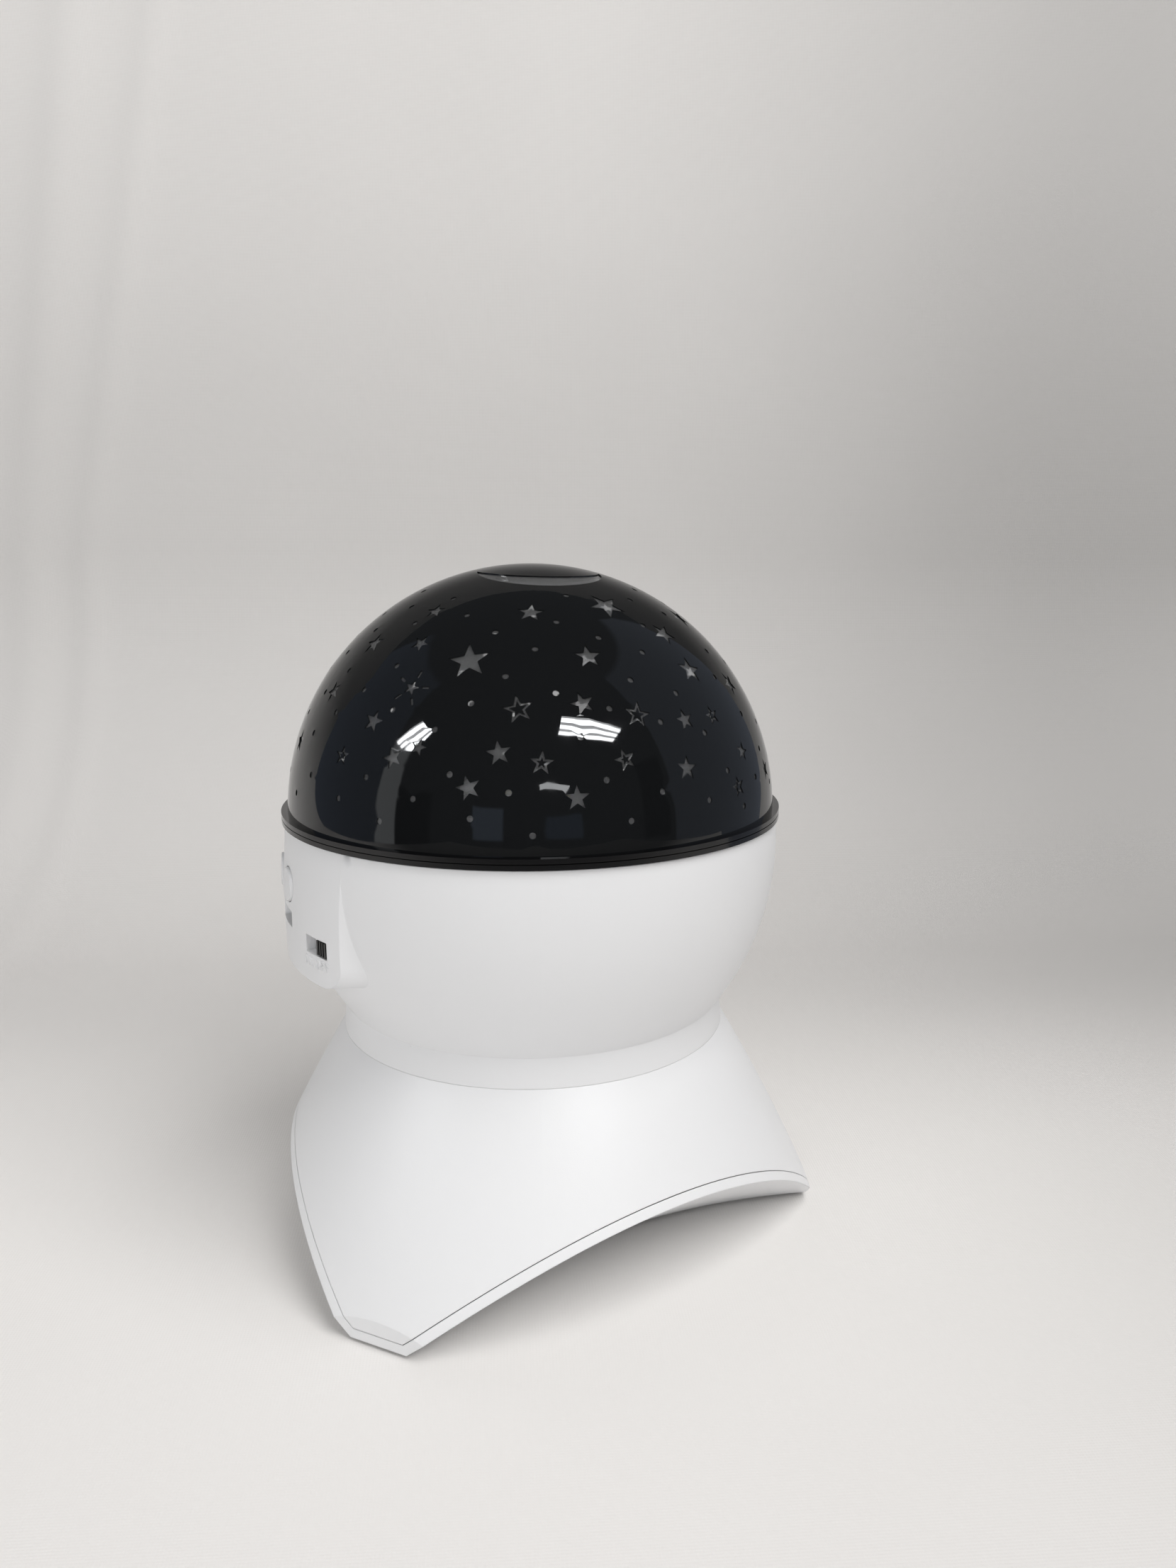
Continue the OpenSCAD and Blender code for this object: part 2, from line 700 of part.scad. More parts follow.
// A metal shell on a riser block, open to the front with a tongue inside
module charging_socket() color([0.7, 0.7, 0.72]) translate([port_x, 0, port_z]) {
  mouth_y = -sqrt(pow(panel_x(port_z) - wall, 2) - pow(port_x + socket_w / 2, 2)) + fit_gap;
  difference() {
    translate([0, (mouth_y + board_y) / 2, -socket_h / 2]) block(socket_w, board_y - mouth_y, socket_h);
    translate([0, mouth_y, -socket_h / 2 + socket_wall])
      block(socket_w - 2 * socket_wall, 2 * socket_deep, socket_h - 2 * socket_wall);
  }
  translate([0, mouth_y + socket_deep / 2 + 1, -0.35]) block(socket_w - 2.4, socket_deep - 1, 0.7);
}

module slide_switch() color([0.85, 0.85, 0.85]) at(switch_az, 0, window_z) difference() {
  translate([switch_r - switch_d / 2, 0, -switch_h / 2]) block(switch_d, switch_w, switch_h);
  translate([switch_r, 0, -knob_stem[1] / 2 - 0.2])
    block(2 * (knob_stem[2] + 0.2), 2 * knob_rest + knob_stem[0] + 0.4, knob_stem[1] + 0.4);
}

module switch_knob() color([0.05, 0.05, 0.05])
at(switch_az, switch_r, window_z) translate([0, knob_rest, 0]) {
  difference() {
    translate([0.2, -knob_w / 2, -knob_h / 2]) cube([wall, knob_w, knob_h]);
    for (i = [1:knob_ribs]) translate([wall, (i / (knob_ribs + 1) - 0.5) * knob_w, -knob_h])
      block(1.2, 0.45, 2 * knob_h);
  }
  translate([0.2 + eps - knob_stem[2] / 2, 0, -knob_stem[1] / 2])
    block(knob_stem[2], knob_stem[0], knob_stem[1]);
}

// ---------------------------------------------------------------- turning ring and dome

function involute(a) = tan(a) - a * PI / 180;
// Half of a tooth's angle at the radius r, on a gear of n teeth thinned by slack
function half_tooth(n, r, slack) =
  let (pr = gear_m * n / 2, base_r = pr * cos(pressure_angle), a = acos(min(1, base_r / max(r, base_r))))
  90 / n + (involute(pressure_angle) - involute(a) - slack / 2 / pr) * 180 / PI;
// Outline of a gear with one tooth centred on X: up one flank of each tooth and down the other
module gear_outline(n, r_low, r_high, slack, steps) {
  radii = [for (k = [0:steps]) r_low + (r_high - r_low) * k / steps];
  polygon([for (i = [0:n - 1]) for (side = [-1, 1]) for (k = [0:steps])
    let (r = radii[side < 0 ? k : steps - k], t = i * 360 / n + side * half_tooth(n, r, slack))
    r * [cos(t), sin(t)]]);
}

// The ring under the dome: a lip over the bowl's rim, a skirt with a keeper groove, and teeth
module turn_ring() color([0.1, 0.1, 0.1]) {
  difference() {
    union() {
      tube(skirt_out_r, skirt_in_r, skirt_z, ring_z + eps);
      tube(ring_r, skirt_in_r, ring_z, lip_top_z);
    }
    tube(skirt_out_r + 1, skirt_out_r - groove_d, groove_z, groove_z + groove_h);
  }
  rotate([0, 0, motor_az]) translate([0, 0, gear_z]) linear_extrude(height = gear_h) difference() {
    circle(r = skirt_in_r + 0.4);
    gear_outline(ring_teeth, pitch_r - tooth_top, pitch_r + tooth_foot, 0, 3);
  }
}

module motor_shaft() color("silver") at(motor_az, drive_at, chassis_z - shaft_in + 0.3)
  cylinder(r = shaft_r, h = gear_z + gear_h - chassis_z + shaft_in - 0.3);

module drive_pinion() color("ivory") at(motor_az, drive_at, gear_z) linear_extrude(height = gear_h)
  difference() {
    gear_outline(pinion_teeth, pinion_pitch_r - tooth_foot, pinion_pitch_r + tooth_top, backlash, 5);
    circle(r = shaft_r + 0.02);
  }

// Black collar round the dome's foot: a seat under the clear wall and a thin edge outside it
module dome_collar() color([0.08, 0.08, 0.08]) {
  tube(ring_r, shell_out_r + 0.1, collar_z + edge_groove, collar_z + collar_t);
  tube(ring_r - 0.8, shell_in_r - 0.6, collar_z, collar_z + seat_t);
}

module dome_skin(r_out, r_in, z0) difference() {
  translate([0, 0, dome_c]) sphere(r = r_out, $fn = 192);
  translate([0, 0, dome_c]) sphere(r = r_in, $fn = 192);
  translate([0, 0, z0 - far]) cylinder(r = far, h = far);
}
module dome_shell() color([0.6, 0.6, 0.65, 0.5]) dome_skin(shell_out_r, shell_in_r, collar_z + seat_t);
module star_coat() color([0.05, 0.05, 0.05]) difference() {
  dome_skin(dome_r, shell_out_r + coat_gap, coat_z);
  star_windows();
}

// ---------------------------------------------------------------- star windows

// Large stars over one half of the dome: [direction, elevation, radius, turn, kind], where
// kind 0 is a full star, 1 an outline and 2 a small star with five rays. They repeat on the far half.
half_stars = [
  [-39, 56, 2.6, 10, 0], [0, 56, 3.2, -6, 0], [32, 58, 4.6, 20, 0], [-56, 45, 3.2, 14, 0],
  [-35, 46, 2.4, -20, 0], [-17, 42, 4.8, 12, 0], [16, 43, 3.2, 0, 0], [48, 48, 3.4, 24, 0],
  [73, 52, 3.6, 8, 0], [48, 38, 3.6, -14, 0], [66, 33, 3.2, 18, 0], [-61, 32, 2.8, 30, 0],
  [-39, 27, 2.8, -10, 0], [12, 32, 2.8, 16, 0], [38, 27, 2.6, 6, 0], [-31, 20, 2.6, 24, 0],
  [-25, 22.5, 2, -16, 0], [-7, 22, 2.8, 10, 0], [35, 17, 2.8, -8, 0], [-13, 15, 2.8, 18, 0],
  [9, 13, 2.8, 0, 0], [69, 12, 2.8, 12, 0], [56, 18, 2.4, -18, 0], [-71, 19, 3, 6, 0],
  [84, 24, 2.6, 20, 0], [-31, 35, 4, -14, 2], [-3, 31, 3.4, 12, 1], [25, 29, 3.2, -14, 1],
  [48, 27, 2.4, 8, 1], [2, 20, 2.7, -6, 1], [20, 20, 2.6, 16, 1], [-46, 19, 2.4, 0, 1],
  [51, 11, 2.6, 10, 1], [-84, 36, 3.2, -10, 1]
];
pattern_az = -1.5;
all_stars = [for (half = [0, 180]) each [for (s = half_stars) [s[0] + half, s[1], s[2], s[3], s[4]]]];
star_waist = 0.4;
outline_w = 0.6;
ray_w = 0.6;

// Small round windows on a golden-angle spiral, wherever no star is near
dot_r = 0.7;
dot_count = 190;
dot_clear = 1.6;
function unit(az, el) = [cos(el) * cos(az), cos(el) * sin(az), sin(el)];
function away(az, el) = min([for (s = all_stars) norm(unit(az, el) - unit(s[0], s[1])) * dome_r - s[2]]);
dots = [for (i = [0:dot_count - 1])
  let (az = i * 137.508, el = asin(0.1 + 0.8 * (i + 0.5) / dot_count))
  if (away(az, el) > dot_clear) [az, el]];

// The crescent near the top: a round window less a second round of the same size
moon = [14, 81, 14.8];
moon_bite = [27, 86.6, 15.1];

// Runs a flat shape outwards through the coat, at a direction and elevation from its centre
module window(az, el) translate([0, 0, dome_c]) rotate([0, 0, az]) rotate([0, -el, 0])
  translate([shell_out_r - 3, 0, 0]) rotate([90, 0, 90]) linear_extrude(height = 6) children();

module star(r) polygon([for (i = [0:9]) (i % 2 == 0 ? r : r * star_waist) * [sin(i * 36), cos(i * 36)]]);

module star_of(s) rotate(s[3]) {
  if (s[4] == 0) star(s[2]);
  if (s[4] == 1) difference() {
    star(s[2]);
    star(s[2] - outline_w / star_waist);
  }
  if (s[4] == 2) {
    star(s[2] * 0.5);
    for (i = [0:4]) rotate(i * 72) translate([-ray_w / 2, s[2] * 0.65]) square([ray_w, s[2] * 0.45]);
  }
}

module star_windows() rotate([0, 0, pattern_az]) {
  for (s = all_stars) window(s[0], s[1]) star_of(s);
  for (d = dots) window(d[0], d[1]) circle(r = dot_r, $fn = 16);
  difference() {
    window(moon[0], moon[1]) circle(r = moon[2]);
    window(moon_bite[0], moon_bite[1]) circle(r = moon_bite[2]);
  }
}

// ---------------------------------------------------------------- the part

on_axis() bowl_shell();
on_axis() foot_shell();
on_axis() base_tray();
on_axis() foot_pads();
on_axis() battery_door();
on_axis() door_screw();
on_axis() battery_cells();
on_axis() battery_contacts();
on_axis() tray_screws();
on_axis() joint_screws();
on_axis() chassis();
on_axis() chassis_screws();
on_axis() glide_ring();
on_axis() gearbox();
on_axis() motor_can();
on_axis() motor_bracket();
on_axis() motor_screws();
on_axis() reflector_plate();
on_axis() plate_screws();
on_axis() lamp_board();
on_axis() lamp_leds();
on_axis() lamp_hood();
on_axis() control_board();
on_axis() board_screws();
on_axis() button_switches();
on_axis() charging_socket();
on_axis() slide_switch();
on_axis() switch_knob();
on_axis() far_left_button();
on_axis() left_button();
on_axis() right_button();
on_axis() far_right_button();
on_axis() turn_ring();
on_axis() dome_collar();
on_axis() dome_shell();
on_axis() star_coat();
on_axis() motor_shaft();
on_axis() drive_pinion();
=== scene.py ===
"""Star night light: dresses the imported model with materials, fine pieces and a photo stage.

The file is laid out as an add-on and is run as a script. Lengths are metres, in the CAD row's frame:
+Z is the dome's axis, -Y faces the control panel, and the camera stands on the +X side.
"""

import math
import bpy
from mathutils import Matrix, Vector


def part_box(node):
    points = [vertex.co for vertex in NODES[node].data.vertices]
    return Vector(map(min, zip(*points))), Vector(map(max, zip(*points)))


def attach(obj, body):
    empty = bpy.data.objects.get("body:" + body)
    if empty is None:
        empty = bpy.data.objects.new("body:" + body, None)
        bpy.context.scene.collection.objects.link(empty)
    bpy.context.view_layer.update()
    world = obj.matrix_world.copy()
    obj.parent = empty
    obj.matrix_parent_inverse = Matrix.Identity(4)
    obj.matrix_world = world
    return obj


bl_info = {
    "name": "Star Night Light",
    "version": (1, 0, 0),
    "blender": (4, 5, 0),
    "location": "3D View > Sidebar > Night Light",
    "description": "Materials, small parts and stage of a star night light projector",
    "category": "Object",
}

import bpy
import numpy as np
from bpy.props import FloatProperty, FloatVectorProperty, PointerProperty
from mathutils import Vector

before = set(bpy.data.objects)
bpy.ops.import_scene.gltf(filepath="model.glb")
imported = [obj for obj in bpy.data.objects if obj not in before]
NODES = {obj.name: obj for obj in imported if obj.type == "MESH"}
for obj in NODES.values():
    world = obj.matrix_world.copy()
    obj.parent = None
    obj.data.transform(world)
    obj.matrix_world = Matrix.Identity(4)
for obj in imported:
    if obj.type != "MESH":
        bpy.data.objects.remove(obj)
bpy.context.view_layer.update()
MM = 0.001
AXIS_Y = float(sum(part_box("dome_collar")[i][1] for i in (0, 1)) / 2)


# The panel's face in its upright section, millimetres from the dome's axis: an arc's radius and centre
PANEL_ARC = 250
PANEL_CENTRE = (-187.8, 83.97)

# ------------------------------------------------------------------ settings


class LampSettings(bpy.types.PropertyGroup):
    """Colours and finish of the lamp's visible pieces."""

    shell_white: FloatVectorProperty(
        name="Shell white", description="Colour of the housing's plastic", subtype="COLOR",
        size=3, min=0, max=1, default=(0.785, 0.79, 0.80),
    )
    shell_roughness: FloatProperty(
        name="Shell roughness", description="How satin the housing looks", subtype="FACTOR",
        min=0, max=1, default=0.42,
    )
    coat_black: FloatVectorProperty(
        name="Coat black", description="Colour of the dome's coat and rings", subtype="COLOR",
        size=3, min=0, max=1, default=(0.006, 0.0065, 0.007),
    )
    window_tint: FloatVectorProperty(
        name="Window tint", description="Tint of the clear dome seen in the star windows",
        subtype="COLOR", size=3, min=0, max=1, default=(0.86, 0.87, 0.88),
    )


class StageSettings(bpy.types.PropertyGroup):
    """Camera, lights and backdrop."""

    lens: FloatProperty(
        name="Lens", description="Focal length on a 36 mm long side", unit="CAMERA",
        default=27.03, min=10, max=200,
    )
    eye: FloatVectorProperty(
        name="Eye", description="Camera position relative to the dome's axis", unit="LENGTH",
        size=3, default=(0.2939, -0.0077, 0.1695),
    )
    yaw: FloatProperty(name="Yaw", description="Camera turn to the right of the axis", unit="ROTATION",
                       default=math.radians(4.264))
    pitch: FloatProperty(name="Pitch", description="Camera tilt below the horizon", unit="ROTATION",
                         default=math.radians(10.958))
    key_power: FloatProperty(name="Key", description="Power of the broad lamp overhead", default=28.5,
                             min=0, unit="POWER")
    front_power: FloatProperty(name="Front", description="Power of the soft light from the front left",
                               default=5.9, min=0, unit="POWER")
    fill: FloatProperty(name="Fill", description="Strength of the pale light from all sides",
                        default=0.36, min=0, max=2)
    sheet_white: FloatVectorProperty(
        name="Sheet", description="Colour of the cloth that the lamp stands on", subtype="COLOR",
        size=3, min=0, max=1, default=(0.81, 0.795, 0.78),
    )


# ------------------------------------------------------------------ mesh makers


def put_mesh(name, points, faces, materials, body=None, smooth=True, face_material=None):
    """Makes an object from arrays: points (n, 3), faces a list of index arrays (k, 3) or (k, 4)."""
    mesh = bpy.data.meshes.new(name)
    points = np.asarray(points, np.float32)
    blocks = [np.asarray(f, np.int32) for f in faces if len(f)]
    sizes = np.concatenate([np.full(len(f), f.shape[1], np.int32) for f in blocks])
    mesh.vertices.add(len(points))
    mesh.vertices.foreach_set("co", points.ravel())
    mesh.loops.add(int(sizes.sum()))
    mesh.loops.foreach_set("vertex_index", np.concatenate([f.ravel() for f in blocks]))
    mesh.polygons.add(len(sizes))
    mesh.polygons.foreach_set("loop_start", np.concatenate([[0], np.cumsum(sizes)[:-1]]).astype(np.int32))
    if face_material is not None:
        mesh.polygons.foreach_set("material_index", np.asarray(face_material, np.int32))
    for material in materials:
        mesh.materials.append(material)
    mesh.polygons.foreach_set("use_smooth", np.full(len(sizes), smooth))
    mesh.update(calc_edges=True)
    mesh.validate()
    piece = bpy.data.objects.new(name, mesh)
    bpy.context.scene.collection.objects.link(piece)
    if body:
        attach(piece, body)
    return piece


def grid(rows, columns, wrap=False):
    """Quads of a grid of points, row by row. With wrap the last column joins the first."""
    i, j = np.meshgrid(np.arange(rows - 1), np.arange(columns if wrap else columns - 1), indexing="ij")
    k = (j + 1) % columns
    return np.stack([i * columns + j, i * columns + k, (i + 1) * columns + k, (i + 1) * columns + j],
                    -1).reshape(-1, 4)


# ------------------------------------------------------------------ materials


def shader(name, colour, roughness, **sockets):
    """A new Principled material, its tree and its Principled node."""
    material = bpy.data.materials.new(name)
    material.use_nodes = True
    tree = material.node_tree
    principled = tree.nodes["Principled BSDF"]
    principled.inputs["Base Color"].default_value = (*colour, 1)
    principled.inputs["Roughness"].default_value = roughness
    for socket, value in sockets.items():
        principled.inputs[socket.replace("_", " ")].default_value = value
    return material, tree, principled


def node(tree, kind, **settings):
    """A new node with its settings and, by the socket's name, its values."""
    made = tree.nodes.new(kind)
    for key, value in settings.items():
        if hasattr(made, key):
            setattr(made, key, value)
        else:
            made.inputs[key].default_value = value
    return made


def noise(tree, scale, detail=3.0, roughness=0.5):
    """Noise on Object coordinates, in cells per metre."""
    place = node(tree, "ShaderNodeTexCoord")
    made = node(tree, "ShaderNodeTexNoise")
    made.inputs["Scale"].default_value = scale
    made.inputs["Detail"].default_value = detail
    made.inputs["Roughness"].default_value = roughness
    tree.links.new(place.outputs["Object"], made.inputs["Vector"])
    return made.outputs["Fac"]


def ramp(tree, value, low, high, start, end):
    """Maps value from low..high to start..end."""
    made = node(tree, "ShaderNodeMapRange")
    made.inputs["From Min"].default_value = low
    made.inputs["From Max"].default_value = high
    made.inputs["To Min"].default_value = start
    made.inputs["To Max"].default_value = end
    tree.links.new(value, made.inputs["Value"])
    return made.outputs["Result"]


def math_node(tree, kind, *values, clamp=False):
    """A Math node of the given kind on sockets or numbers."""
    made = node(tree, "ShaderNodeMath", operation=kind, use_clamp=clamp)
    for slot, value in enumerate(values):
        if isinstance(value, (int, float)):
            made.inputs[slot].default_value = value
        else:
            tree.links.new(value, made.inputs[slot])
    return made.outputs[0]


def along(tree):
    """The three Object coordinates, as sockets."""
    place = node(tree, "ShaderNodeTexCoord")
    split = node(tree, "ShaderNodeSeparateXYZ")
    tree.links.new(place.outputs["Object"], split.inputs[0])
    return tuple(split.outputs)


def eased(tree, value, low, high, start, end):
    """Maps value from low..high to start..end, level beyond them and eased between."""
    made = node(tree, "ShaderNodeMapRange", interpolation_type="SMOOTHSTEP")
    for socket, number in zip(("From Min", "From Max", "To Min", "To Max"), (low, high, start, end)):
        made.inputs[socket].default_value = number
    tree.links.new(value, made.inputs["Value"])
    return made.outputs["Result"]


def between(tree, value, low, high, soft):
    """1 where value lies between low and high, falling to 0 over soft outside them."""
    rises = math_node(tree, "MULTIPLY_ADD", value, 1 / soft, 1 - low / soft, clamp=True)
    falls = math_node(tree, "MULTIPLY_ADD", value, -1 / soft, 1 + high / soft, clamp=True)
    return math_node(tree, "MULTIPLY", rises, falls)


def tinted(tree, principled, value, first, second):
    """Base colour that goes from first to second with value."""
    mix = node(tree, "ShaderNodeMix", data_type="RGBA")
    mix.inputs[6].default_value = (*first, 1)
    mix.inputs[7].default_value = (*second, 1)
    tree.links.new(value, mix.inputs["Factor"])
    tree.links.new(mix.outputs[2], principled.inputs["Base Color"])


def bumped(tree, principled, height, distance, strength=0.3):
    """A bump from a height, with its depth in metres."""
    bump = node(tree, "ShaderNodeBump")
    bump.inputs["Distance"].default_value = distance
    bump.inputs["Strength"].default_value = strength
    tree.links.new(height, bump.inputs["Height"])
    tree.links.new(bump.outputs["Normal"], principled.inputs["Normal"])
    return bump


def moulded(name, colour, roughness, grain=0.00002, shade=0.03, **sockets):
    """Moulded plastic: a fine grain, a faint cloud in its tone and its roughness."""
    material, tree, principled = shader(name, colour, roughness, **sockets)
    cloud = noise(tree, 55, 2)
    darker = tuple(c * (1 - shade) for c in colour)
    tinted(tree, principled, ramp(tree, cloud, 0.35, 0.65, 0, 1), darker, colour)
    tree.links.new(ramp(tree, cloud, 0.3, 0.7, roughness * 0.92, roughness * 1.08),
                   principled.inputs["Roughness"])
    bumped(tree, principled, noise(tree, 5200, 2), grain)
    return material


def metal(name, colour, roughness, scale=900):
    """Metal with fine brushed streaks in its roughness."""
    material, tree, principled = shader(name, colour, roughness, Metallic=1.0)
    streaks = noise(tree, scale, 4, 0.7)
    tree.links.new(ramp(tree, streaks, 0.3, 0.7, roughness * 0.7, roughness * 1.4),
                   principled.inputs["Roughness"])
    bumped(tree, principled, streaks, 0.00001, 0.2)
    return material


def clear(name, tint, roughness, index, pass_share=0.95):
    """Clear plastic that shows what is behind it."""
    material, tree, principled = shader(name, tint, roughness, IOR=index)
    principled.inputs["Transmission Weight"].default_value = pass_share
    wear = noise(tree, 300, 3)
    tree.links.new(ramp(tree, wear, 0.4, 0.8, roughness, roughness + 0.04),
                   principled.inputs["Roughness"])
    return material


def dress(material, *names):
    """Gives CAD nodes a material."""
    for name in names:
        if not NODES[name].material_slots:
            raise RuntimeError(f"{name} has no material slot")
        for slot in NODES[name].material_slots:
            slot.material = material


# Moulded plastics: colour, roughness, then where they differ from the usual the grain and the shade
MOULDED = {
    "ring_black": ((0.004, 0.004, 0.0045), 0.12, 0.000004, 0.1),
    "plate_white": ((0.85, 0.85, 0.84), 0.3),
    "chassis_grey": ((0.6, 0.6, 0.6), 0.5),
    "acetal": ((0.78, 0.76, 0.68), 0.4),
    "cell_jacket": ((0.42, 0.44, 0.47), 0.28, 0.00001),
    "pad_rubber": ((0.02, 0.02, 0.02), 0.75, 0.00006, 0.2),
    "board_green": ((0.02, 0.13, 0.05), 0.35, 0.00002, 0.3),
    "switch_black": ((0.005, 0.005, 0.005), 0.4),
    "switch_grey": ((0.78, 0.78, 0.78), 0.5),
    "led_lens": ((0.85, 0.75, 0.35), 0.2),
}
# Metals: colour and roughness
METALS = {
    "steel": ((0.62, 0.62, 0.64), 0.32),
    "nickel": ((0.86, 0.85, 0.83), 0.3),
    "brass": ((0.74, 0.58, 0.28), 0.35),
}


class MadeOnce:
    """Materials by name, each made the first time it is asked for."""

    made = {}

    @classmethod
    def get(cls, name):
        if name not in cls.made:
            if name in MOULDED:
                cls.made[name] = moulded(name, *MOULDED[name])
            elif name in METALS:
                cls.made[name] = metal(name, *METALS[name])
            else:
                cls.made[name] = getattr(cls, name)()
        return cls.made[name]

    @staticmethod
    def shell_white():
        """Satin white plastic: edges softened in the shading, a fine grain and sparse dust."""
        lamp = bpy.context.scene.night_light
        material, tree, principled = shader("shell_white", lamp.shell_white[:], lamp.shell_roughness)
        dust_cells, dusty_from, least_reach, most_reach = 260, 0.93, 0.012, 0.04
        cells = node(tree, "ShaderNodeTexVoronoi")
        cells.inputs["Scale"].default_value = dust_cells
        tree.links.new(node(tree, "ShaderNodeTexCoord").outputs["Object"], cells.inputs["Vector"])
        draw = node(tree, "ShaderNodeSeparateXYZ")
        tree.links.new(cells.outputs["Color"], draw.inputs[0])
        chosen = math_node(tree, "GREATER_THAN", draw.outputs["X"], dusty_from)
        reach = ramp(tree, draw.outputs["Y"], 0, 1, least_reach, most_reach)
        speck = math_node(tree, "MULTIPLY", chosen,
                          math_node(tree, "LESS_THAN", cells.outputs["Distance"], reach))
        tinted(tree, principled, math_node(tree, "MULTIPLY", speck, 0.75), lamp.shell_white[:],
               (0.2, 0.19, 0.18))
        cloud = noise(tree, 55, 2)
        tree.links.new(ramp(tree, cloud, 0.3, 0.7, lamp.shell_roughness * 0.95,
                            lamp.shell_roughness * 1.05), principled.inputs["Roughness"])
        bump = bumped(tree, principled, noise(tree, 3800, 2), 0.00003, 0.35)
        edge = node(tree, "ShaderNodeBevel", samples=4)
        edge.inputs["Radius"].default_value = 0.4 * MM
        tree.links.new(edge.outputs["Normal"], bump.inputs["Normal"])
        return material

    @staticmethod
    def gloss_black():
        lamp = bpy.context.scene.night_light
        material, tree, principled = shader("gloss_black", lamp.coat_black[:], 0.03)
        waves = noise(tree, 28, 2)
        bumped(tree, principled, waves, 0.0004, 0.08)
        tree.links.new(ramp(tree, noise(tree, 120, 3), 0.4, 0.8, 0.02, 0.07), principled.inputs["Roughness"])
        return material

    @staticmethod
    def dome_clear():
        lamp = bpy.context.scene.night_light
        return clear("dome_clear", lamp.window_tint[:], 0.02, 1.45, 0.93)

    @staticmethod
    def hood_clear():
        return clear("hood_clear", (0.94, 0.95, 0.95), 0.03, 1.45)


# ------------------------------------------------------------------ operators


class NIGHTLIGHT_OT_dome(bpy.types.Operator):
    """Dresses the turning dome: coat, clear wall and black rings"""

    bl_idname = "nightlight.dome"
    bl_label = "Dome"

    def execute(self, context):
        dress(MadeOnce.get("gloss_black"), "star_coat")
        dress(MadeOnce.get("dome_clear"), "dome_shell")
        dress(MadeOnce.get("ring_black"), "dome_collar", "turn_ring")
        return {"FINISHED"}


class NIGHTLIGHT_OT_housing(bpy.types.Operator):
    """Dresses the white housing"""

    bl_idname = "nightlight.housing"
    bl_label = "Housing"

    def execute(self, context):
        dress(MadeOnce.get("shell_white"), "bowl_shell", "foot_shell", "base_tray", "battery_door",
              "far_left_button", "left_button", "right_button", "far_right_button")
        dress(MadeOnce.get("pad_rubber"), "foot_pads")
        return {"FINISHED"}


class NIGHTLIGHT_OT_controls(bpy.types.Operator):
    """Dresses the switch, socket and boards"""

    bl_idname = "nightlight.controls"
    bl_label = "Controls"

    def execute(self, context):
        dress(MadeOnce.get("switch_black"), "switch_knob", "button_switches")
        dress(MadeOnce.get("switch_grey"), "slide_switch")
        dress(MadeOnce.get("nickel"), "charging_socket", "battery_contacts")
        dress(MadeOnce.get("board_green"), "control_board")
        self.letters()
        return {"FINISHED"}

    def letters(self):
        """ON/OFF in raised strokes on the panel. Each stroke is a path in (u, v) millimetres, swept by
        a flat ellipse, u + wide cos(lean) across and tall sin(lean) outwards. It is wrapped round the
        dome's axis by azimuth = middle + u / R(z), with R(z) the panel's arc at z = height + v."""
        turn = np.linspace(0, 2 * np.pi, 25)[:, None]
        bars = {
            "O": [np.hstack([0.72 * np.cos(turn), np.sin(turn)])],
            "N": [[(-0.62, -1), (-0.62, 1)], [(-0.62, 1), (0.62, -1)], [(0.62, -1), (0.62, 1)]],
            "/": [[(-0.5, -1.1), (0.5, 1.1)]],
            "F": [[(-0.5, -1), (-0.5, 1)], [(-0.5, 1), (0.6, 1)], [(-0.5, 0.1), (0.45, 0.1)]],
        }
        places = (-4.6, -2.6, -0.9, 0.95, 2.9, 4.7)
        points, quads, caps, total = [], [], [], 0
        for place, letter in zip(places, "ON/OFF"):
            for path in bars[letter]:
                strip = self.stroke(np.array(path, float) + (place, 0), closed=letter == "O")
                rows, sides = strip.shape[:2]
                points.append(strip.reshape(-1, 3))
                quads.append(grid(rows, sides, wrap=True) + total)
                if letter != "O":
                    points.append(np.stack([strip[0].mean(0), strip[-1].mean(0)]))
                    near = np.arange(sides) + total
                    ahead = (np.arange(sides) + 1) % sides + total
                    end, pole = (rows - 1) * sides, total + rows * sides
                    caps.append(np.stack([ahead, near, np.full(sides, pole)], 1))
                    caps.append(np.stack([near + end, ahead + end, np.full(sides, pole + 1)], 1))
                    total += 2
                total += rows * sides
        placed = np.concatenate(points) * MM + (0, AXIS_Y, 0)
        faces = [np.concatenate(quads), np.concatenate(caps)]
        put_mesh("switch_letters", placed, faces, [MadeOnce.get("shell_white")], "base")

    @staticmethod
    def stroke(path, closed):
        """One stroke's rings of points in millimetres, by the formula of letters."""
        middle, height, wide, tall, sides, steps = math.radians(-53.5), 79.2, 0.19, 0.28, 10, 5
        if not closed:
            path = np.linspace(path[0], path[-1], steps)
        step = np.gradient(path, axis=0)
        step /= np.linalg.norm(step, axis=1, keepdims=True)
        across = np.stack([-step[:, 1], step[:, 0]], 1)
        if closed:
            across[0] = across[-1] = (-1, 0)
        lean = 2 * np.pi * np.arange(sides) / sides
        flat = path[:, None, :] + wide * np.cos(lean)[None, :, None] * across[:, None, :]
        z = height + flat[..., 1]
        radius = PANEL_CENTRE[0] + np.sqrt(PANEL_ARC ** 2 - (z - PANEL_CENTRE[1]) ** 2)
        azimuth = middle + flat[..., 0] / radius
        radius = radius + tall * np.sin(lean)
        return np.stack([radius * np.cos(azimuth), radius * np.sin(azimuth), z], -1)


